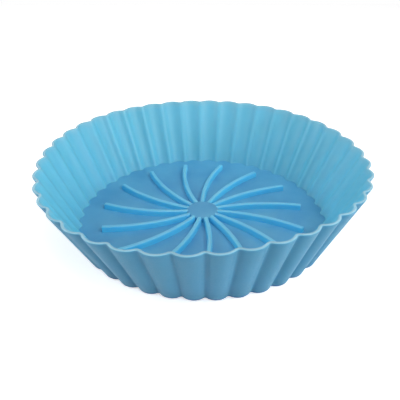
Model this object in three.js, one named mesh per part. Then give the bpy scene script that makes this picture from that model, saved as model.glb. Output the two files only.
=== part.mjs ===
// Round silicone air fryer liner: a shallow flared bowl with a fluted wall, whose flat floor carries a centre
// disc and a swirl of raised ribs. Millimetres, +Z up, origin at the centre of the flat underside.
// The real liner is moulded in one shot. Each moulded feature is a solid of its own here: the floor plate carries
// the wall, the disc and the ribs, which stand face to face on its upper side.
import * as THREE from "three";

// Bowl, measured over the flute crests. The foot radius is where the wall's straight flare meets the table.
const RIM_RADIUS = 100;
const FOOT_RADIUS = 79.8;
const HEIGHT = 44;
const WALL_THICKNESS = 1.5;
const FLOOR_THICKNESS = 2;
const RIM_EDGE = 0.5; // softened corners of the top edge
const HEEL_RADIUS = 2; // rounded outer corner between the underside and the wall
const COVE_RADIUS = 0.8; // rounded inner corner between the floor and the wall
const COVE_LIP = 0.2; // the cove's height where it stops on the floor, so that it has no knife edge

// Flutes: round lobes that bulge outwards, parted by narrower bends that point inwards.
const FLUTE_COUNT = 40;
const RIM_FLUTE_DEPTH = 2.55;
const FOOT_FLUTE_DEPTH = 2.3;
const INWARD_BEND_SHARE = 0.2; // of each flute's width

// Centre disc and swirl ribs. A rib leaves the disc square to its side and bends clockwise at a steady radius.
const DISC_RADIUS = 10.2;
const RIB_COUNT = 15;
const RIB_HEIGHT = 3.8; // the disc is as high
const RIB_BASE_WIDTH = 3.2;
const RIB_TOP_WIDTH = 2.6;
const RIB_TO_WALL = 14.1; // from the middle of a rib's outer end to the wall's inner foot, at the crests
const RIB_BEND_RADIUS = 112;
const FIRST_RIB_BEARING = THREE.MathUtils.degToRad(16.9); // where the first rib leaves the disc, from +X
const TOP_EDGE = 0.85; // softened upper edges of the disc and the ribs
const RIB_GAP = 0.3; // between the disc's side and a rib's inner end

// Facets.
const FLUTE_STEPS = 10;
const CORNER_STEPS = 2;
const DISC_STEPS = 48;
const RIB_STEPS = 10;

const silicone = new THREE.MeshStandardMaterial({ name: "silicone", color: "#5cb2dc", roughness: 0.45 });

// The wall leans outwards from upright by the flare angle.
const flare = Math.atan2(RIM_RADIUS - FOOT_RADIUS, HEIGHT);
const levelWall = WALL_THICKNESS / Math.cos(flare);
const crestRadius = (z) => FOOT_RADIUS + z * Math.tan(flare);
const fluteDepth = (z) => THREE.MathUtils.lerp(FOOT_FLUTE_DEPTH, RIM_FLUTE_DEPTH, z / HEIGHT);

const floorTop = FLOOR_THICKNESS;
const ribTop = floorTop + RIB_HEIGHT;
const innerFoot = crestRadius(floorTop) - levelWall;
const ribReach = innerFoot - RIB_TO_WALL;

// Radius of a fluted skin at height z and at a share of the way from a flute crest, 0, to an inward bend, 1.
// A lobe and a bend are arcs that meet tangentially. A skin that lies further in by inset keeps their centres,
// so the wall is as thick on the flanks of the flutes as on their crests.
function flutedRadius(share, z, inset) {
  const depth = fluteDepth(z);
  const halfPitch = (crestRadius(z) * Math.PI) / FLUTE_COUNT;
  const sweep = 2 * Math.atan(depth / halfPitch);
  const bothRadii = halfPitch / Math.sin(sweep);
  const bendRadius = bothRadii * INWARD_BEND_SHARE;
  const lobeRadius = bothRadii - bendRadius;
  const fromCrest = share * halfPitch;
  const fromBend = halfPitch - fromCrest;
  if (fromCrest < (lobeRadius - inset) * Math.sin(sweep)) {
    return crestRadius(z) - lobeRadius + Math.sqrt((lobeRadius - inset) ** 2 - fromCrest ** 2);
  }
  return crestRadius(z) - depth + bendRadius - Math.sqrt((bendRadius + inset) ** 2 - fromBend ** 2);
}

// Turns a profile about Z and presses the flutes into it. The profile holds radius and height, drawn through a
// flute crest. An inward bend faces -Y. Points on the axis stay there.
function flutedLathe(profile) {
  const geometry = new THREE.LatheGeometry(profile, FLUTE_COUNT * FLUTE_STEPS).rotateX(Math.PI / 2);
  const position = geometry.getAttribute("position");
  for (let i = 0; i < position.count; i++) {
    const { x: radius, y: z } = profile[i % profile.length];
    if (radius === 0) continue;
    const step = Math.floor(i / profile.length) % FLUTE_STEPS;
    const share = Math.abs(1 - (2 * step) / FLUTE_STEPS);
    const scale = flutedRadius(share, z, crestRadius(z) - radius) / radius;
    position.setXY(i, position.getX(i) * scale, position.getY(i) * scale);
  }
  return geometry;
}

// Points of an arc in a profile, from one angle to another.
function arcPoints(centre, radius, from, to, steps) {
  const points = [];
  for (let i = 0; i <= steps; i++) {
    const angle = THREE.MathUtils.lerp(from, to, i / steps);
    points.push(new THREE.Vector2(centre.x + radius * Math.cos(angle), centre.y + radius * Math.sin(angle)));
  }
  return points;
}

// Floor plate: flat on both sides, with the rounded heel that runs into the wall's outer face.
function floorPlate() {
  const heel = Math.min(HEEL_RADIUS, floorTop / (1 - Math.sin(flare)));
  const centre = new THREE.Vector2(crestRadius(heel) - heel / Math.cos(flare), heel);
  return flutedLathe([
    new THREE.Vector2(0, 0),
    ...arcPoints(centre, heel, -Math.PI / 2, -flare, CORNER_STEPS),
    new THREE.Vector2(crestRadius(floorTop), floorTop),
    new THREE.Vector2(0, floorTop),
  ]);
}

// Fluted wall: a flared shell with a softened top edge and a cove at its inner foot.
function flutedWall() {
  const coveTop = floorTop + COVE_RADIUS;
  const coveCentre = new THREE.Vector2(
    innerFoot + COVE_RADIUS * Math.tan(flare) - COVE_RADIUS / Math.cos(flare),
    coveTop,
  );
  const coveFoot = Math.asin(COVE_LIP / COVE_RADIUS - 1);
  const cove = arcPoints(coveCentre, COVE_RADIUS, -flare, coveFoot, CORNER_STEPS);
  const shoulder = HEIGHT - RIM_EDGE;
  const outline = [
    new THREE.Vector2(crestRadius(floorTop), floorTop),
    new THREE.Vector2(crestRadius(shoulder), shoulder),
    new THREE.Vector2(crestRadius(HEIGHT) - RIM_EDGE, HEIGHT),
    new THREE.Vector2(crestRadius(HEIGHT) - levelWall + RIM_EDGE, HEIGHT),
    new THREE.Vector2(crestRadius(shoulder) - levelWall, shoulder),
    ...cove,
    new THREE.Vector2(cove.at(-1).x, floorTop),
  ];
  return flutedLathe([...outline, outline[0]]);
}

// Centre disc: level with the rib tops, its upper edge softened.
function centreDisc() {
  const edge = new THREE.Vector2(DISC_RADIUS - TOP_EDGE, ribTop - TOP_EDGE);
  return new THREE.LatheGeometry(
    [
      new THREE.Vector2(0, floorTop),
      new THREE.Vector2(DISC_RADIUS, floorTop),
      ...arcPoints(edge, TOP_EDGE, 0, Math.PI / 2, CORNER_STEPS),
      new THREE.Vector2(0, ribTop),
    ],
    DISC_STEPS,
  ).rotateX(Math.PI / 2);
}

// Middle line of a rib on the floor, leaving the disc along +X and bending clockwise until it is ribReach out.
class RibLine extends THREE.Curve {
  constructor() {
    super();
    this.start = DISC_RADIUS + RIB_GAP;
    const rise = (ribReach ** 2 - this.start ** 2) / (2 * RIB_BEND_RADIUS) - RIB_BEND_RADIUS;
    const swing = Math.hypot(this.start, RIB_BEND_RADIUS);
    this.sweep = Math.asin(rise / swing) + Math.atan2(RIB_BEND_RADIUS, this.start);
  }
  getPoint(t, target = new THREE.Vector3()) {
    const angle = this.sweep * t;
    const across = RIB_BEND_RADIUS * (Math.cos(angle) - 1);
    return target.set(this.start + RIB_BEND_RADIUS * Math.sin(angle), across, floorTop);
  }
}

// Swirl rib: a drafted section with a softened top, swept along the rib line. The sweep sets the section's x
// downwards and its y across the rib.
function swirlRib() {
  const base = RIB_BASE_WIDTH / 2;
  const top = RIB_TOP_WIDTH / 2;
  const section = new THREE.Shape();
  section.moveTo(0, -base);
  section.lineTo(TOP_EDGE - RIB_HEIGHT, -top);
  section.quadraticCurveTo(-RIB_HEIGHT, -top, -RIB_HEIGHT, TOP_EDGE - top);
  section.lineTo(-RIB_HEIGHT, top - TOP_EDGE);
  section.quadraticCurveTo(-RIB_HEIGHT, top, TOP_EDGE - RIB_HEIGHT, top);
  section.lineTo(0, base);
  section.closePath();
  return new THREE.ExtrudeGeometry(section, {
    steps: RIB_STEPS,
    curveSegments: CORNER_STEPS,
    extrudePath: new RibLine(),
  });
}

const liner = new THREE.Group();
liner.name = "silicone_air_fryer_liner";

function addPiece(name, geometry, bearing = 0) {
  const piece = new THREE.Mesh(geometry, silicone);
  piece.name = name;
  piece.rotation.z = bearing;
  liner.add(piece);
}

addPiece("floor_plate", floorPlate());
addPiece("fluted_wall", flutedWall());
addPiece("centre_disc", centreDisc());
const rib = swirlRib();
for (let i = 0; i < RIB_COUNT; i++) {
  const bearing = FIRST_RIB_BEARING + (i * 2 * Math.PI) / RIB_COUNT;
  addPiece(`swirl_rib_${String(i + 1).padStart(2, "0")}`, rib, bearing);
}

export default liner;
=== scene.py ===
"""Round silicone air fryer liner, laid out as a Blender add-on: a flared, fluted bowl whose flat floor
carries a raised disc and a swirl of ribs, with a plain white studio to show it in. Metres, +Z up, origin at
the centre of the flat underside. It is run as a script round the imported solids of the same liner."""
import math

import bmesh
import bpy
from bpy.props import FloatProperty, FloatVectorProperty, IntProperty, PointerProperty
from mathutils import Matrix, Vector


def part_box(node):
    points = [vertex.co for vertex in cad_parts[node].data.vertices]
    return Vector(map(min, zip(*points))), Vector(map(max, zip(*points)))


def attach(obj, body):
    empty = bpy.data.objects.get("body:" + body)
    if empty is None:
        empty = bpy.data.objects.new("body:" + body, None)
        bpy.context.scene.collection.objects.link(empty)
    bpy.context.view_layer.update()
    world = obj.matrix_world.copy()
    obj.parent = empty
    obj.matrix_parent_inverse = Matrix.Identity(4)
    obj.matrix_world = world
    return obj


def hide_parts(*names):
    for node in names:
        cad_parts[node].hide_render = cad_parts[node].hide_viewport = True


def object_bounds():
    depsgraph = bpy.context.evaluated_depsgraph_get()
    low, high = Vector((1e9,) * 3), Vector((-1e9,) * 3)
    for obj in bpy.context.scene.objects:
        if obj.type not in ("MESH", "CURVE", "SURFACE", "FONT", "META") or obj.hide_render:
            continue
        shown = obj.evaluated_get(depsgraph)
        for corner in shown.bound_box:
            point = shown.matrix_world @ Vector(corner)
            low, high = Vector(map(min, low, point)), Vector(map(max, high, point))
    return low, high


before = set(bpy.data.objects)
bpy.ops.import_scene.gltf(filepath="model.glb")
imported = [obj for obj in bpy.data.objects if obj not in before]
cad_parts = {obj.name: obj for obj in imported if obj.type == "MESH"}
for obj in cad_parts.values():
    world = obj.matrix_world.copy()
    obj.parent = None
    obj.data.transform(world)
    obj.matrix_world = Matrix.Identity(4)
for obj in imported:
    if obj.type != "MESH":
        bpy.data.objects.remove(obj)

bl_info = {
    "name": "Silicone air fryer liner",
    "version": (1, 0, 0),
    "blender": (4, 5, 0),
    "location": "3D View > Sidebar > Liner",
    "description": "Makes a fluted silicone air fryer liner and a white studio to show it in",
    "category": "Object",
}

MM = 0.001

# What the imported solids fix.
CAD_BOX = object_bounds()
FLOOR_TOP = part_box("floor_plate")[1].z
RIB_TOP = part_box("centre_disc")[1].z
DISC_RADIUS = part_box("centre_disc")[1].x
RIB_NODES = sorted(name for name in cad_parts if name.startswith("swirl_rib_"))

# How finely the meshes are divided.
FLUTE_STEPS = 40
CORNER_STEPS = 6
DISC_STEPS = 128
RIB_STEPS = 56
LONGEST_EDGE = 4 * MM
CREASE_ANGLE = math.radians(40)
MERGE_GAP = 0.001 * MM

# The flutes fade into the flat floor within this distance of the crests.
FLUTED_BAND = 8 * MM
# The disc and the ribs reach this far into the floor, so that no gap shows at their feet.
FOOT_SINK = 0.05 * MM
# A rib starts this far inside the disc.
RIB_ROOT = 0.9 * MM
# The upper edges of the ribs get this share of the rim top edge's painted highlight and polish.
RIB_HIGHLIGHT_SHARE = 0.4
# The ribs' painted glow fades towards the foot, where this share of it is left; this paints shade at the
# foot.
RIB_FOOT_PAINTED_GLOW = 0.7
# The wall is at its clearest from this far above the floor, which stops the light at the wall's foot.
FOOT_FADE = 5 * MM

# Bloom gathers on the moulded skin in soft clouds about 25 mm across.
CLOUDS = {"Scale": 1 / (25 * MM), "Detail": 3, "Roughness": 0.5}
BLOOM_IN_CLOUDS = {"From Min": 0.35, "From Max": 0.75, "To Min": 0, "To Max": 0.45}
# The eroded grain is about 0.2 mm, too fine to show in the render, so it is drawn at 0.9 mm.
GRAIN = {"Scale": 1 / (0.9 * MM), "Detail": 2, "Roughness": 0.6}
ROUGHNESS_IN_GRAIN = {"From Min": 0.3, "From Max": 0.7, "To Min": 0.42, "To Max": 0.54}
GRAIN_RELIEF = {"Strength": 0.25, "Distance": 0.05 * MM}
# Rubbing takes this much off the roughness of the top edges, so that they catch a line of light.
RUBBED_POLISH = 0.12
# The specular level goes from the inner skin's to the duller outer skin's.
SHEEN = {"To Min": 0.5, "To Max": 0.25}
SILICONE_IOR = 1.41

# The colour sockets of a Mix node go by number, because other sockets of the node have their names too.
MIX_AMOUNT = 0
MIX_UNDER = 6
MIX_OVER = 7
MIXED = 2

# The camera stands where the photograph was taken from. Its lens and its sensor are in millimetres.
LENS = 43.73
SENSOR = 36
CAMERA_PLACE = Vector((-1.68, -266.5, 174.2)) * MM
CAMERA_DIP = math.radians(31.21)
CAMERA_TURN = math.radians(-0.7)
NEAREST_SEEN = 10 * MM

# Softboxes stand round the liner at one distance. Each has its bearing, in degrees to the right of the
# front, its height in degrees and its width.
LAMP_DISTANCE = 1.2
SOFTBOXES = {
    "key": (60, 52, 0.3),
    "left": (-82, 25, 1.0),
    "right": (50, 18, 0.6),
    "top": (0, 80, 0.6),
}

# The paper floor lies just under the liner. To the eye it glows a little.
FLOOR_HALF_WIDTH = 0.8
FLOOR_LEVEL = -0.1 * MM
PAPER_GLOW = 0.61


def length(name, description, millimetres):
    """A property that holds a length."""
    return FloatProperty(
        name=name, description=description, default=millimetres * MM, min=0, unit="LENGTH", precision=5
    )


def bearing(name, description, degrees):
    """A property that holds a direction seen from above, anticlockwise from +X."""
    angle = math.radians(degrees)
    return FloatProperty(name=name, description=description, default=angle, subtype="ANGLE")


def share(name, description, value, least=0, most=1):
    """A property that holds a share of something."""
    return FloatProperty(
        name=name, description=description, default=value, min=least, max=most, subtype="FACTOR"
    )


def linear(code):
    """The linear colour of an sRGB hex code."""
    shares = [int(code[i : i + 2], 16) / 255 for i in (1, 3, 5)]
    return [s / 12.92 if s <= 0.04045 else ((s + 0.055) / 1.055) ** 2.4 for s in shares]


def colour(name, description, code):
    """A property that holds a colour, given as an sRGB hex code."""
    opaque = [*linear(code), 1]
    return FloatVectorProperty(
        name=name, description=description, default=opaque, size=4, min=0, max=1, subtype="COLOR"
    )


def power(name, description, watts):
    """A property that holds a lamp's power."""
    return FloatProperty(name=name, description=description, default=watts, min=0, unit="POWER")


class LinerSizes(bpy.types.PropertyGroup):
    """Sizes of the moulding. They are the solids' sizes, but for tighter inward bends and soft rib ends."""

    rim_radius: length("Rim radius", "From the axis to a flute crest at the top edge", 100)
    foot_radius: length("Foot radius", "Where the straight flare of the crests meets the table", 79.8)
    height: length("Height", "From the underside to the top edge", CAD_BOX[1].z / MM)
    wall: length("Wall", "Thickness of the fluted wall", 1.5)
    floor_top: length("Floor", "Thickness of the floor", FLOOR_TOP / MM)
    rim_edge: length("Rim edge", "Radius of the softened corners of the top edge", 0.5)
    heel_radius: length("Heel", "Rounded outer corner between the underside and the wall", 2)
    flute_count: IntProperty(name="Flutes", description="Number round the wall", default=40, min=8)
    rim_flute_depth: length("Flute depth at the rim", "From a crest to an inward bend", 2.55)
    foot_flute_depth: length("Flute depth at the foot", "From a crest to an inward bend", 2.3)
    bend_share: share("Inward bend", "Its share of a flute's width", 0.13, 0.02, 0.9)
    disc_radius: length("Disc radius", "Raised disc in the middle of the floor", DISC_RADIUS / MM)
    rib_top: length("Rib top", "Height of the ribs and the disc above the table", RIB_TOP / MM)
    rib_base_width: length("Rib base", "Width of a rib on the floor", 3.2)
    rib_top_width: length("Rib width at the top", "Before its edges are softened", 2.6)
    rib_edge: length("Soft edge", "Radius of the upper edges of the ribs and the disc", 0.85)
    rib_end: length("Rib end", "Radius of the upper edge of a rib's outer end", 0.5)
    rib_to_wall: length("Rib to wall", "From a rib's outer end to the wall's inner foot", 14.1)
    rib_bend_radius: length("Rib bend", "Radius at which a rib bends clockwise", 112)
    rib_bearing: bearing("First rib", "Where the first rib leaves the disc", 16.9)


class LinerSlump(bpy.types.PropertyGroup):
    """How the soft rim has settled out of round. Each amount is nothing at the table, full at the rim."""

    lean: length("Lean", "How far the rim has moved towards -X", 0.48)
    oval_out: length("Oval, out", "How far the rim bulges at two opposite sides", 0.72)
    oval_out_bearing: bearing("Oval, out, bearing", "Where one of the two bulges is", 37.5)
    oval_up: length("Oval, up", "How far the rim rises at two opposite sides", 0.33)
    oval_up_bearing: bearing("Oval, up, bearing", "Where one of the two rises is", -65.9)
    triple_out: length("Triple, out", "How far the rim bulges at three sides", 1.43)
    triple_out_bearing: bearing("Triple, out, bearing", "Where one of the three bulges is", -2)
    triple_up: length("Triple, up", "How far the rim rises at three sides", 0.7)
    triple_up_bearing: bearing("Triple, up, bearing", "Where one of the three rises is", 50.8)


class LinerFinish(bpy.types.PropertyGroup):
    """Colours and finish of the liner."""

    silicone: colour("Silicone", "Pigmented silicone, as it looks on the floor", "#4f9ecb")
    # Painted light: the wall is drawn in this lighter copy of the silicone, for the light that comes through
    # it.
    wall: colour("Wall", "The same silicone in the thin wall, which light comes through", "#69bcd3")
    bloom: colour("Bloom", "Faint pale bloom on the moulded skin", "#72c4e1")
    # Painted shade: the outer skin and the underside are multiplied by this colour, which darkens and greys
    # them.
    outer_painted_shade: colour("Outer tint", "Dulls the outer skin, where the mould is coarser", "#b0bfd0")
    # Painted glow: the ribs are drawn in this lighter, deeper blue, as if lit through.
    thin: colour("Thin", "Ribs, which are thin enough to glow", "#60d2f8")
    # Painted highlight: the top edges of the rim and the ribs are drawn in this paler colour.
    top_edge: colour("Top edge", "Worn, paler top edges of the rim and the ribs", "#8cb7c9")
    light_depth: length("Light depth", "How far light travels in the floor, the disc and the ribs", 0.3)
    wall_light_depth: length("Light depth, wall", "How far light travels in the thin wall", 4)


class LinerStudio(bpy.types.PropertyGroup):
    """Paper and lamps of the studio."""

    paper: colour("Paper", "Floor under the liner", "#f4f4f4")
    ambient: share("Ambient", "Even light from the backdrop", 0.12)
    key: power("Key", "Small softbox at the front right, high", 5)
    left: power("Left", "Wide softbox at the left, low", 8)
    right: power("Right", "Softbox at the front right, low", 7)
    top: power("Top", "Softbox nearly overhead", 2.8)


def add_object(name, data):
    """Adds an object that holds a mesh, a lamp or a camera."""
    added = bpy.data.objects.new(name, data)
    bpy.context.scene.collection.objects.link(added)
    return added


def add_mesh(name, points, edges=(), faces=()):
    """Adds an object with a mesh of points, edges and faces."""
    mesh = bpy.data.meshes.new(name)
    mesh.from_pydata(points, edges, faces)
    return add_object(name, mesh)


def add_node(tree, kind, settings=None, links=None):
    """Adds a node with its settings. Each input in links is joined to a socket or filled with a value."""
    node = tree.nodes.new(kind)
    for name, value in (settings or {}).items():
        setattr(node, name, value)
    for key, value in (links or {}).items():
        if isinstance(value, bpy.types.NodeSocket):
            tree.links.new(value, node.inputs[key])
        else:
            node.inputs[key].default_value = value
    return node


def cleared_tree(owner):
    """The node tree of a material or a world, with its nodes cleared away."""
    owner.use_nodes = True
    owner.node_tree.nodes.clear()
    return owner.node_tree


def rule_tree(name, inputs, rule):
    """Starts a geometry tree that takes a profile and named inputs, and works out a rule in it. A step of
    the rule is a name, a maths operation and its operands. Returns the tree and what is known in it: the
    sockets of its inputs, of a point's place and number, and of the steps."""
    tree = bpy.data.node_groups.new(name, "GeometryNodeTree")
    tree.interface.new_socket("Profile", in_out="INPUT", socket_type="NodeSocketGeometry")
    for label in inputs:
        kind = "Material" if label == "Material" else "Float"
        tree.interface.new_socket(label, in_out="INPUT", socket_type=f"NodeSocket{kind}")
    tree.interface.new_socket("Piece", in_out="OUTPUT", socket_type="NodeSocketGeometry")
    given = add_node(tree, "NodeGroupInput")
    known = {label: given.outputs[label] for label in ("Profile", *inputs)}
    position = add_node(tree, "GeometryNodeInputPosition")
    axes = add_node(tree, "ShaderNodeSeparateXYZ", links={0: position.outputs[0]})
    known |= {"x": axes.outputs[0], "y": axes.outputs[1], "z": axes.outputs[2]}
    known["index"] = add_node(tree, "GeometryNodeInputIndex").outputs[0]
    for label, operation, *operands in rule:
        links = {i: known.get(operand, operand) for i, operand in enumerate(operands)}
        known[label] = add_node(tree, "ShaderNodeMath", {"operation": operation}, links).outputs[0]
    return tree, known


def add_marks(tree, geometry, known, marks):
    """Stores marks for the finish on a geometry's points. Each has the name of what is known of it."""
    for mark in marks:
        geometry = add_node(
            tree,
            "GeometryNodeStoreNamedAttribute",
            {"data_type": "FLOAT", "domain": "POINT"},
            {"Geometry": geometry, "Name": mark, "Value": known[mark]},
        ).outputs[0]
    return geometry


def end_tree(tree, known, geometry):
    """Realizes what a tree has made, gives it its material and hands it out."""
    whole = add_node(tree, "GeometryNodeRealizeInstances", links={0: geometry})
    links = {"Geometry": whole.outputs[0], "Material": known["Material"]}
    dressed = add_node(tree, "GeometryNodeSetMaterial", links=links)
    add_node(tree, "NodeGroupOutput", links={0: dressed.outputs[0]})


# Each flute is a lobe and an inward bend, arcs that meet tangentially. A skin that lies further in keeps
# their centres, so the wall is as thick on the flanks of the flutes as on their crests. A bend faces -Y.
FLUTE_RULE = (
    ("height share", "DIVIDE", "z", "Height"),
    ("flare", "SUBTRACT", "Rim radius", "Foot radius"),
    ("crest", "MULTIPLY_ADD", "flare", "height share", "Foot radius"),
    ("depth gain", "SUBTRACT", "Rim flute depth", "Foot flute depth"),
    ("depth", "MULTIPLY_ADD", "depth gain", "height share", "Foot flute depth"),
    ("half turn", "DIVIDE", math.pi, "Flutes"),
    ("half pitch", "MULTIPLY", "crest", "half turn"),
    ("slope", "DIVIDE", "depth", "half pitch"),
    ("half sweep", "ARCTANGENT", "slope"),
    ("sweep", "MULTIPLY", "half sweep", 2.0),
    ("sweep sine", "SINE", "sweep"),
    ("both radii", "DIVIDE", "half pitch", "sweep sine"),
    ("bend radius", "MULTIPLY", "both radii", "Inward bend"),
    ("lobe radius", "SUBTRACT", "both radii", "bend radius"),
    ("x square", "MULTIPLY", "x", "x"),
    ("radius square", "MULTIPLY_ADD", "y", "y", "x square"),
    ("radius", "SQRT", "radius square"),
    ("inset", "SUBTRACT", "crest", "radius"),
    ("lobe arc", "SUBTRACT", "lobe radius", "inset"),
    ("bend arc", "ADD", "bend radius", "inset"),
    ("from front", "MULTIPLY", "y", -1.0),
    ("turn", "ARCTAN2", "x", "from front"),
    ("half flutes", "DIVIDE", "turn", "half turn"),
    ("crest share", "PINGPONG", "half flutes", 1.0),
    ("from bend", "MULTIPLY", "crest share", "half pitch"),
    ("from crest", "SUBTRACT", "half pitch", "from bend"),
    ("lobe end", "MULTIPLY", "lobe arc", "sweep sine"),
    ("on lobe", "LESS_THAN", "from crest", "lobe end"),
    ("lobe square", "MULTIPLY", "lobe arc", "lobe arc"),
    ("crest square", "MULTIPLY", "from crest", "from crest"),
    ("lobe rest", "SUBTRACT", "lobe square", "crest square"),
    ("lobe rise", "SQRT", "lobe rest"),
    ("lobe offset", "SUBTRACT", "lobe rise", "lobe radius"),
    ("bend square", "MULTIPLY", "bend arc", "bend arc"),
    ("near bend square", "MULTIPLY", "from bend", "from bend"),
    ("bend rest", "SUBTRACT", "bend square", "near bend square"),
    ("bend rise", "SQRT", "bend rest"),
    ("bend centre", "SUBTRACT", "bend radius", "depth"),
    ("bend offset", "SUBTRACT", "bend centre", "bend rise"),
    ("offset gap", "SUBTRACT", "lobe offset", "bend offset"),
    ("offset", "MULTIPLY_ADD", "offset gap", "on lobe", "bend offset"),
    ("fluted radius", "ADD", "crest", "offset"),
    ("fluted", "GREATER_THAN", "radius", "Round within"),
)


def slump_rule():
    """Steps that move the fluted wall out of round, by waves that go two and three times round the rim."""
    rule = [("angle", "ARCTAN2", "y", "x")]
    for way in ("out", "up"):
        for form, times in (("Oval", 2.0), ("Triple", 3.0)):
            name = f"{form}, {way}"
            rule.append((f"{name}, from", "SUBTRACT", "angle", f"{name}, bearing"))
            rule.append((f"{name}, phase", "MULTIPLY", f"{name}, from", times))
            rule.append((f"{name}, wave", "COSINE", f"{name}, phase"))
            rule.append((f"{name}, size", "MULTIPLY", f"{name}, wave", name))
        rule.append((f"{way} at rim", "ADD", f"Oval, {way}, size", f"Triple, {way}, size"))
    rule += (
        ("slumped radius", "MULTIPLY_ADD", "out at rim", "height share", "fluted radius"),
        ("scale", "DIVIDE", "slumped radius", "radius"),
        ("lean here", "MULTIPLY", "Lean", "height share"),
        ("wide x", "MULTIPLY", "x", "scale"),
        ("new x", "SUBTRACT", "wide x", "lean here"),
        ("new y", "MULTIPLY", "y", "scale"),
        ("new z", "MULTIPLY_ADD", "up at rim", "height share", "z"),
    )
    return rule


# Marks for the finish: the top edge, which gets a painted highlight, the outer skin with the underside,
# which get painted shade, and how clear the wall is.
MARK_RULE = (
    ("below top", "SUBTRACT", "Height", "z"),
    ("edge depths", "DIVIDE", "below top", "Edge depth"),
    ("edge share", "SUBTRACT", 1.0, "edge depths"),
    ("top_edge", "MAXIMUM", "edge share", 0.0),
    ("skin depth", "DIVIDE", "inset", "Level wall"),
    ("outer share", "SUBTRACT", 1.0, "skin depth"),
    ("half floor", "MULTIPLY", "Floor top", 0.5),
    ("underside", "LESS_THAN", "z", "half floor"),
    ("outer_skin", "MAXIMUM", "outer share", "underside"),
    ("above floor", "SUBTRACT", "z", "Floor top"),
    ("foot share", "DIVIDE", "above floor", FOOT_FADE),
    ("clear share", "MINIMUM", "foot share", 1.0),
    ("see_through", "MULTIPLY", "clear share", "wall_skin"),
)


def fluted_shell_tree(inputs):
    """The tree that presses the flutes into a turned shell, lets its rim slump and marks its finish."""
    made = bpy.data.node_groups.get("Fluted shell")
    if made:
        return made
    tree, known = rule_tree("Fluted shell", inputs, (*FLUTE_RULE, *slump_rule(), *MARK_RULE))
    marks = ("wall_skin", "top_edge", "outer_skin", "see_through")
    marked = add_marks(tree, known["Profile"], known, marks)
    links = {0: known["new x"], 1: known["new y"], 2: known["new z"]}
    place = add_node(tree, "ShaderNodeCombineXYZ", links=links)
    links = {"Geometry": marked, "Selection": known["fluted"], "Position": place.outputs[0]}
    pressed = add_node(tree, "GeometryNodeSetPosition", links=links)
    end_tree(tree, known, pressed.outputs[0])
    return tree


# A rib leaves the disc square to its side and bends clockwise at a steady radius. Its steps crowd towards
# its outer end, where its section shrinks along a quarter round, so that the end has no sharp edge.
RIB_RULE = (
    ("step share", "DIVIDE", "index", "Steps"),
    ("share left", "SUBTRACT", 1.0, "step share"),
    ("way left", "MULTIPLY", "share left", "share left"),
    ("way", "SUBTRACT", 1.0, "way left"),
    ("angle", "MULTIPLY", "way", "Sweep"),
    ("angle sine", "SINE", "angle"),
    ("path x", "MULTIPLY_ADD", "angle sine", "Bend radius", "Start"),
    ("angle cosine", "COSINE", "angle"),
    ("cosine drop", "SUBTRACT", "angle cosine", 1.0),
    ("path y", "MULTIPLY", "cosine drop", "Bend radius"),
    ("path length", "MULTIPLY", "Sweep", "Bend radius"),
    ("from end", "MULTIPLY", "way left", "path length"),
    ("into round", "SUBTRACT", "End round", "from end"),
    ("round depth", "MAXIMUM", "into round", 0.0),
    ("round square", "MULTIPLY", "End round", "End round"),
    ("depth square", "MULTIPLY", "round depth", "round depth"),
    ("round rest", "SUBTRACT", "round square", "depth square"),
    ("round rise", "SQRT", "round rest"),
    ("drop", "SUBTRACT", "End round", "round rise"),
    ("drop share", "DIVIDE", "drop", "Rib height"),
    ("section scale", "SUBTRACT", 1.0, "drop share"),
    ("rib turn", "DIVIDE", 2 * math.pi, "Ribs"),
    ("rib bearing", "MULTIPLY_ADD", "index", "rib turn", "First bearing"),
    ("step points", "ADD", "Steps", 1.0),
    # The top_edge mark paints a highlight, with polish, on the rib's upper edges.
    ("below top", "SUBTRACT", "Rib height", "z"),
    ("edge depths", "DIVIDE", "below top", "Soft edge"),
    ("edge share", "SUBTRACT", 1.0, "edge depths"),
    ("rubbed", "MAXIMUM", "edge share", 0.0),
    ("top_edge", "MULTIPLY", "rubbed", RIB_HIGHLIGHT_SHARE),
    # The thin mark paints a glow on the rib that fades to painted shade at its foot.
    ("rise share", "DIVIDE", "z", "Rib height"),
    ("thin", "MULTIPLY_ADD", "rise share", 1 - RIB_FOOT_PAINTED_GLOW, RIB_FOOT_PAINTED_GLOW),
)


def rib_ring_tree(inputs):
    """The tree that sweeps the rib section along its bend and sets numbered ribs round the disc."""
    tree, known = rule_tree("Swirl ribs", inputs, RIB_RULE)
    section = add_node(tree, "GeometryNodeMeshToCurve", links={"Mesh": known["Profile"]})
    line = add_node(tree, "GeometryNodeCurvePrimitiveLine")
    links = {"Curve": line.outputs[0], "Count": known["step points"]}
    steps = add_node(tree, "GeometryNodeResampleCurve", links=links)
    place = add_node(tree, "ShaderNodeCombineXYZ", links={0: known["path x"], 1: known["path y"]})
    links = {"Geometry": steps.outputs[0], "Position": place.outputs[0]}
    path = add_node(tree, "GeometryNodeSetPosition", links=links)
    rib = add_node(
        tree,
        "GeometryNodeCurveToMesh",
        links={
            "Curve": path.outputs[0],
            "Profile Curve": section.outputs[0],
            "Scale": known["section scale"],
            "Fill Caps": True,
        },
    )
    # The top_edge mark carries a painted highlight and the thin mark a painted glow.
    marked = add_marks(tree, rib.outputs[0], known, ("top_edge", "thin"))
    root = add_node(tree, "ShaderNodeCombineXYZ", links={2: known["Foot"]})
    links = {"Count": known["Ribs"], "Position": root.outputs[0]}
    roots = add_node(tree, "GeometryNodePoints", links=links)
    turn = add_node(tree, "ShaderNodeCombineXYZ", links={2: known["rib bearing"]})
    links = {"Points": roots.outputs[0], "Instance": marked, "Rotation": turn.outputs[0]}
    ring = add_node(tree, "GeometryNodeInstanceOnPoints", links=links)
    numbered = add_node(
        tree,
        "GeometryNodeStoreNamedAttribute",
        {"data_type": "INT", "domain": "INSTANCE"},
        {"Geometry": ring.outputs[0], "Name": "rib_number", "Value": known["index"]},
    )
    end_tree(tree, known, numbered.outputs[0])
    return tree


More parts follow.
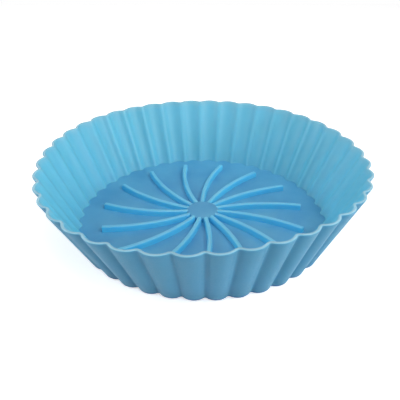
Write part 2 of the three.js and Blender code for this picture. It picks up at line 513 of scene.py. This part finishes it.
def rounded_outline(corners, steps=CORNER_STEPS):
    """Points of a closed outline. Each corner is an x, a y and the radius of the arc that rounds it."""
    points = []
    for i, (x, y, radius) in enumerate(corners):
        corner = Vector((x, y))
        if radius == 0:
            points.append(corner)
            continue
        before = (Vector(corners[i - 1][:2]) - corner).normalized()
        after = (Vector(corners[(i + 1) % len(corners)][:2]) - corner).normalized()
        half_angle = before.angle(after) / 2
        centre = corner + (before + after).normalized() * (radius / math.sin(half_angle))
        spoke = corner + before * (radius / math.tan(half_angle)) - centre
        turn = math.copysign(math.pi - 2 * half_angle, -before.cross(after))
        points += [centre + Matrix.Rotation(turn * step / steps, 2) @ spoke for step in range(steps + 1)]
    return points


def divided(points, longest=LONGEST_EDGE):
    """The same points, with more set evenly along each gap that is too long."""
    dense = []
    for start, end in zip(points, points[1:]):
        count = math.ceil((end - start).length / longest)
        dense += [start.lerp(end, i / count) for i in range(count)]
    return [*dense, points[-1]]


def chain(count, closed):
    """Edges that join points one after the other and, if closed, the last to the first."""
    edges = [(i, i + 1) for i in range(count - 1)]
    if closed:
        edges.append((count - 1, 0))
    return edges


def turned_profile(name, points, closed, steps):
    """Adds an object that draws a profile of radii and heights and turns it about Z."""
    piece = add_mesh(name, [(point.x, 0, point.y) for point in points], chain(len(points), closed))
    screw = piece.modifiers.new("Turned", "SCREW")
    screw.axis = "Z"
    screw.steps = steps
    screw.render_steps = steps
    screw.use_merge_vertices = True
    screw.merge_threshold = MERGE_GAP
    return piece


def shape_with(piece, tree, values):
    """Puts a node tree on a piece and sets its inputs by their sockets' identifiers."""
    modifier = piece.modifiers.new(tree.name, "NODES")
    modifier.node_group = tree
    for socket in tree.interface.items_tree:
        if socket.in_out == "INPUT" and socket.name in values:
            modifier[socket.identifier] = values[socket.name]


def bake(piece):
    """Turns what a piece's modifiers make into its plain mesh, with merged seams and outward faces."""
    evaluated = piece.evaluated_get(bpy.context.evaluated_depsgraph_get())
    baked = bpy.data.meshes.new_from_object(evaluated)
    drawn = piece.data
    piece.modifiers.clear()
    piece.data = baked
    bpy.data.meshes.remove(drawn)
    shell = bmesh.new()
    shell.from_mesh(baked)
    bmesh.ops.remove_doubles(shell, verts=shell.verts, dist=MERGE_GAP)
    bmesh.ops.recalc_face_normals(shell, faces=shell.faces)
    if not shell.faces or not all(edge.is_manifold for edge in shell.edges):
        raise RuntimeError(f"{piece.name} isn't a closed shell")
    shell.to_mesh(baked)
    shell.free()
    baked.shade_smooth()
    baked.set_sharp_from_angle(angle=CREASE_ANGLE)


def seat(piece, node):
    """Sets a finished piece on the liner's body in place of a solid."""
    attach(piece, "root")
    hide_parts(node)


def moulded_silicone():
    """Platinum-cured silicone rubber, pressed in a finely eroded steel mould. Light goes some way into it
    and out again, which softens the flutes and makes the thin ribs glow. The eroded skin gives a satin sheen
    with a fine grain. Light and shade are also painted into its colour: the wall is painted lighter, the
    ribs are painted to glow, the top edges carry a painted highlight and the outer skin painted shade."""
    made = bpy.data.materials.get("silicone_moulded_satin")
    if made:
        return made
    finish = bpy.context.scene.liner_finish
    made = bpy.data.materials.new("silicone_moulded_satin")
    tree = cleared_tree(made)
    marks = {}
    for mark in ("wall_skin", "outer_skin", "thin", "top_edge", "see_through"):
        marks[mark] = add_node(tree, "ShaderNodeAttribute", {"attribute_name": mark}).outputs["Fac"]
    place = add_node(tree, "ShaderNodeTexCoord").outputs["Object"]
    clouds = add_node(tree, "ShaderNodeTexNoise", links={"Vector": place} | CLOUDS)
    links = {"Value": clouds.outputs["Fac"]} | BLOOM_IN_CLOUDS
    bloom = add_node(tree, "ShaderNodeMapRange", links=links)
    # Colours that lie over the plain silicone, one after the other: how much of each, how it is mixed in
    # and which it is. The wall's colour is painted light, the bloom is the skin's own, the outer tint is
    # painted shade, the ribs' colour is a painted glow and the top edge's colour is a painted highlight.
    layers = (
        (marks["wall_skin"], "MIX", finish.wall),
        (bloom.outputs[0], "MIX", finish.bloom),
        (marks["outer_skin"], "MULTIPLY", finish.outer_painted_shade),
        (marks["thin"], "MIX", finish.thin),
        (marks["top_edge"], "MIX", finish.top_edge),
    )
    skin = finish.silicone
    for amount, blend, tint in layers:
        settings = {"data_type": "RGBA", "blend_type": blend}
        links = {MIX_AMOUNT: amount, MIX_UNDER: skin, MIX_OVER: tint}
        skin = add_node(tree, "ShaderNodeMix", settings, links).outputs[MIXED]
    grain = add_node(tree, "ShaderNodeTexNoise", links={"Vector": place} | GRAIN).outputs["Fac"]
    satin = add_node(tree, "ShaderNodeMapRange", links={"Value": grain} | ROUGHNESS_IN_GRAIN)
    links = {0: marks["top_edge"], 1: -RUBBED_POLISH, 2: satin.outputs[0]}
    roughness = add_node(tree, "ShaderNodeMath", {"operation": "MULTIPLY_ADD"}, links)
    relief = add_node(tree, "ShaderNodeBump", links={"Height": grain} | GRAIN_RELIEF)
    sheen = add_node(tree, "ShaderNodeMapRange", links={"Value": marks["outer_skin"]} | SHEEN)
    depths = {"To Min": finish.light_depth, "To Max": finish.wall_light_depth}
    depth = add_node(tree, "ShaderNodeMapRange", links={"Value": marks["see_through"]} | depths)
    surface = add_node(
        tree,
        "ShaderNodeBsdfPrincipled",
        links={
            "Base Color": skin,
            "Roughness": roughness.outputs[0],
            "IOR": SILICONE_IOR,
            "Specular IOR Level": sheen.outputs[0],
            "Subsurface Weight": 1,
            "Subsurface Radius": (1, 1, 1),
            "Subsurface Scale": depth.outputs[0],
            "Normal": relief.outputs[0],
        },
    )
    add_node(tree, "ShaderNodeOutputMaterial", links={"Surface": surface.outputs[0]})
    return made


def crest_radius(sizes, z):
    """Radius of the flute crests at a height, on the outer skin."""
    return sizes.foot_radius + (sizes.rim_radius - sizes.foot_radius) * z / sizes.height


def level_wall(sizes):
    """The leaning wall's thickness, measured level."""
    return sizes.wall * math.hypot(1, (sizes.rim_radius - sizes.foot_radius) / sizes.height)


def press_flutes(piece, scene, wall_skin):
    """Presses the flutes into a turned shell. Its skin is marked 1 if it is the wall's and 0 if not."""
    sizes = scene.liner_sizes
    values = {
        "Material": moulded_silicone(),
        "Rim radius": sizes.rim_radius,
        "Foot radius": sizes.foot_radius,
        "Height": sizes.height,
        "Flutes": float(sizes.flute_count),
        "Rim flute depth": sizes.rim_flute_depth,
        "Foot flute depth": sizes.foot_flute_depth,
        "Inward bend": sizes.bend_share,
        "Round within": sizes.foot_radius - FLUTED_BAND,
        "Edge depth": sizes.rim_edge,
        "Level wall": level_wall(sizes),
        "Floor top": sizes.floor_top,
        "wall_skin": wall_skin,
    }
    # The amounts of the slump go in under the names that the sidebar shows.
    for key in LinerSlump.__annotations__:
        values[LinerSlump.bl_rna.properties[key].name] = getattr(scene.liner_slump, key)
    shape_with(piece, fluted_shell_tree(values), values)


class LINER_OT_floor(bpy.types.Operator):
    """Makes the flat floor with its scalloped, rounded heel"""

    bl_idname = "liner.floor"
    bl_label = "Floor"

    def execute(self, context):
        sizes = context.scene.liner_sizes
        top = sizes.floor_top
        flare = math.atan2(sizes.rim_radius - sizes.foot_radius, sizes.height)
        heel = min(sizes.heel_radius, top / (1 - math.sin(flare)))
        outline = rounded_outline(
            [
                (0, 0, 0),
                (crest_radius(sizes, 0), 0, heel),
                (crest_radius(sizes, top), top, 0),
                (crest_radius(sizes, top) - level_wall(sizes), top, 0),
                (0, top, 0),
            ]
        )
        steps = sizes.flute_count * FLUTE_STEPS
        piece = turned_profile("liner_floor", divided(outline, FLUTED_BAND), False, steps)
        press_flutes(piece, context.scene, 0.0)
        bake(piece)
        seat(piece, "floor_plate")
        return {"FINISHED"}


class LINER_OT_wall(bpy.types.Operator):
    """Makes the flared, fluted wall with its thin top edge"""

    bl_idname = "liner.wall"
    bl_label = "Fluted wall"

    def execute(self, context):
        sizes = context.scene.liner_sizes
        foot = sizes.floor_top
        across = level_wall(sizes)
        outline = rounded_outline(
            [
                (crest_radius(sizes, foot), foot, 0),
                (crest_radius(sizes, sizes.height), sizes.height, sizes.rim_edge),
                (crest_radius(sizes, sizes.height) - across, sizes.height, sizes.rim_edge),
                (crest_radius(sizes, foot) - across, foot, 0),
            ]
        )
        piece = turned_profile("liner_wall", divided(outline), True, sizes.flute_count * FLUTE_STEPS)
        press_flutes(piece, context.scene, 1.0)
        bake(piece)
        seat(piece, "fluted_wall")
        return {"FINISHED"}


class LINER_OT_disc(bpy.types.Operator):
    """Makes the raised disc in the middle of the floor"""

    bl_idname = "liner.disc"
    bl_label = "Centre disc"

    def execute(self, context):
        sizes = context.scene.liner_sizes
        foot = sizes.floor_top - FOOT_SINK
        outline = rounded_outline(
            [
                (0, foot, 0),
                (sizes.disc_radius, foot, 0),
                (sizes.disc_radius, sizes.rib_top, sizes.rib_edge),
                (0, sizes.rib_top, 0),
            ]
        )
        piece = turned_profile("liner_disc", divided(outline), False, DISC_STEPS)
        bake(piece)
        piece.data.materials.append(moulded_silicone())
        seat(piece, "centre_disc")
        return {"FINISHED"}


def rib_ring(sizes):
    """Adds an object that holds all the ribs."""
    foot = sizes.floor_top - FOOT_SINK
    height = sizes.rib_top - foot
    base = sizes.rib_base_width / 2
    top = sizes.rib_top_width / 2
    edge = sizes.rib_edge
    section = rounded_outline([(-base, 0, 0), (-top, height, edge), (top, height, edge), (base, 0, 0)])
    ring = add_mesh("rib_ring", [(point.x, -point.y, 0) for point in section], chain(len(section), True))
    # The rib's path ends where it is as far from the axis as the ribs reach.
    start = sizes.disc_radius - RIB_ROOT
    bend = sizes.rib_bend_radius
    reach = crest_radius(sizes, sizes.floor_top) - level_wall(sizes) - sizes.rib_to_wall
    rise = (reach**2 - start**2) / (2 * bend) - bend
    values = {
        "Material": moulded_silicone(),
        "Start": start,
        "Sweep": math.asin(rise / math.hypot(start, bend)) + math.atan2(bend, start),
        "Bend radius": bend,
        "Rib height": height,
        "Soft edge": edge,
        "End round": sizes.rib_end,
        "Ribs": float(len(RIB_NODES)),
        "First bearing": sizes.rib_bearing,
        "Foot": foot,
        "Steps": float(RIB_STEPS),
    }
    shape_with(ring, rib_ring_tree(values), values)
    bake(ring)
    return ring


def one_rib(ring_mesh, number):
    """The mesh of one rib, cut out of the ring's by its number."""
    rib = bmesh.new()
    rib.from_mesh(ring_mesh)
    layer = rib.verts.layers.int["rib_number"]
    others = [vertex for vertex in rib.verts if vertex[layer] != number]
    bmesh.ops.delete(rib, geom=others, context="VERTS")
    if not rib.faces:
        raise RuntimeError(f"the ring has no rib {number + 1}")
    mesh = ring_mesh.copy()
    rib.to_mesh(mesh)
    rib.free()
    return mesh


class LINER_OT_ribs(bpy.types.Operator):
    """Makes the ring of ribs that swirl outwards from the disc, each as a piece of its own"""

    bl_idname = "liner.ribs"
    bl_label = "Swirl ribs"

    def execute(self, context):
        ring = rib_ring(context.scene.liner_sizes)
        ring_mesh = ring.data
        for number, node in enumerate(RIB_NODES):
            piece = add_object(f"liner_rib_{number + 1:02d}", one_rib(ring_mesh, number))
            seat(piece, node)
        bpy.data.objects.remove(ring)
        bpy.data.meshes.remove(ring_mesh)
        return {"FINISHED"}


def seen_rays(tree):
    """A socket that is 1 for rays that show the studio to the eye, straight or through gloss or glass."""
    rays = add_node(tree, "ShaderNodeLightPath")
    seen = rays.outputs["Is Camera Ray"]
    for way in ("Is Glossy Ray", "Is Transmission Ray"):
        links = {0: seen, 1: rays.outputs[way]}
        seen = add_node(tree, "ShaderNodeMath", {"operation": "MAXIMUM"}, links).outputs[0]
    return seen


def matt_paper(studio):
    """Matt white paper. To the eye it also glows a little, so that it comes out white and the shadow on it
    stays faint."""
    paper = bpy.data.materials.new("paper_matt_white")
    tree = cleared_tree(paper)
    matt = add_node(tree, "ShaderNodeBsdfDiffuse", links={"Color": studio.paper})
    links = {0: seen_rays(tree), 1: PAPER_GLOW}
    lift = add_node(tree, "ShaderNodeMath", {"operation": "MULTIPLY"}, links)
    glow = add_node(tree, "ShaderNodeEmission", links={"Strength": lift.outputs[0]})
    lit = add_node(tree, "ShaderNodeAddShader", links={0: matt.outputs[0], 1: glow.outputs[0]})
    add_node(tree, "ShaderNodeOutputMaterial", links={"Surface": lit.outputs[0]})
    return paper


def lay_floor(studio):
    """Lays the paper floor under the liner."""
    sides = ((-1, -1), (1, -1), (1, 1), (-1, 1))
    corners = [(x * FLOOR_HALF_WIDTH, y * FLOOR_HALF_WIDTH, FLOOR_LEVEL) for x, y in sides]
    floor = add_mesh("studio_floor", corners, faces=[(0, 1, 2, 3)])
    floor.data.materials.append(matt_paper(studio))


def hang_backdrop(scene):
    """Hangs a backdrop that is white to the eye and gives the liner an even light."""
    scene.world = bpy.data.worlds.new("studio_backdrop")
    tree = cleared_tree(scene.world)
    links = {0: seen_rays(tree), 1: scene.liner_studio.ambient}
    level = add_node(tree, "ShaderNodeMath", {"operation": "MAXIMUM"}, links)
    links = {"Color": (1, 1, 1, 1), "Strength": level.outputs[0]}
    white = add_node(tree, "ShaderNodeBackground", links=links)
    add_node(tree, "ShaderNodeOutputWorld", links={"Surface": white.outputs[0]})


def set_up_softboxes(studio):
    """Sets up the softboxes, all turned to the liner."""
    for name, (bearing_degrees, height_degrees, width) in SOFTBOXES.items():
        lamp = bpy.data.lights.new(f"{name}_softbox", "AREA")
        lamp.energy = getattr(studio, name)
        lamp.size = width
        softbox = add_object(f"{name}_softbox", lamp)
        turn = Matrix.Rotation(math.radians(bearing_degrees), 3, "Z")
        tilt = Matrix.Rotation(math.radians(-height_degrees), 3, "X")
        softbox.location = turn @ tilt @ Vector((0, -LAMP_DISTANCE, 0))
        softbox.rotation_euler = (-softbox.location).to_track_quat("-Z", "Y").to_euler()


def set_up_camera(scene):
    """Sets up the camera that shows the liner as the photograph does."""
    lens = bpy.data.cameras.new("camera")
    lens.sensor_width = SENSOR
    lens.lens = LENS
    lens.clip_start = NEAREST_SEEN
    camera = add_object("camera", lens)
    camera.location = Matrix.Rotation(CAMERA_TURN, 3, "Z") @ CAMERA_PLACE
    camera.rotation_euler = (math.pi / 2 - CAMERA_DIP, 0, CAMERA_TURN)
    scene.camera = camera


class LINER_OT_studio(bpy.types.Operator):
    """Makes the white floor and backdrop, the softboxes and the camera"""

    bl_idname = "liner.studio"
    bl_label = "Studio"

    def execute(self, context):
        scene = context.scene
        scene.view_settings.view_transform = "Standard"
        lay_floor(scene.liner_studio)
        hang_backdrop(scene)
        set_up_softboxes(scene.liner_studio)
        set_up_camera(scene)
        return {"FINISHED"}


class LINER_PT_panel(bpy.types.Panel):
    """Lists the steps that make the liner and its studio"""

    bl_idname = "LINER_PT_panel"
    bl_label = "Air fryer liner"
    bl_space_type = "VIEW_3D"
    bl_region_type = "UI"
    bl_category = "Liner"

    def draw(self, context):
        for step in STEPS:
            self.layout.operator(step.bl_idname)
        for attribute, group in PROPERTY_GROUPS.items():
            for name in group.__annotations__:
                self.layout.prop(getattr(context.scene, attribute), name)


STEPS = (LINER_OT_floor, LINER_OT_wall, LINER_OT_disc, LINER_OT_ribs, LINER_OT_studio)
PROPERTY_GROUPS = {
    "liner_sizes": LinerSizes,
    "liner_slump": LinerSlump,
    "liner_finish": LinerFinish,
    "liner_studio": LinerStudio,
}


def register():
    """Makes the sizes, the steps and the panel known to Blender."""
    for kind in (*PROPERTY_GROUPS.values(), *STEPS, LINER_PT_panel):
        bpy.utils.register_class(kind)
    for attribute, group in PROPERTY_GROUPS.items():
        setattr(bpy.types.Scene, attribute, PointerProperty(type=group))


def unregister():
    """Takes them away again."""
    for attribute in PROPERTY_GROUPS:
        delattr(bpy.types.Scene, attribute)
    for kind in (LINER_PT_panel, *reversed(STEPS), *reversed(PROPERTY_GROUPS.values())):
        bpy.utils.unregister_class(kind)


def main():
    """Makes every piece and the studio."""
    register()
    bpy.ops.liner.floor()
    bpy.ops.liner.wall()
    bpy.ops.liner.disc()
    bpy.ops.liner.ribs()
    bpy.ops.liner.studio()


if __name__ == "__main__":
    main()
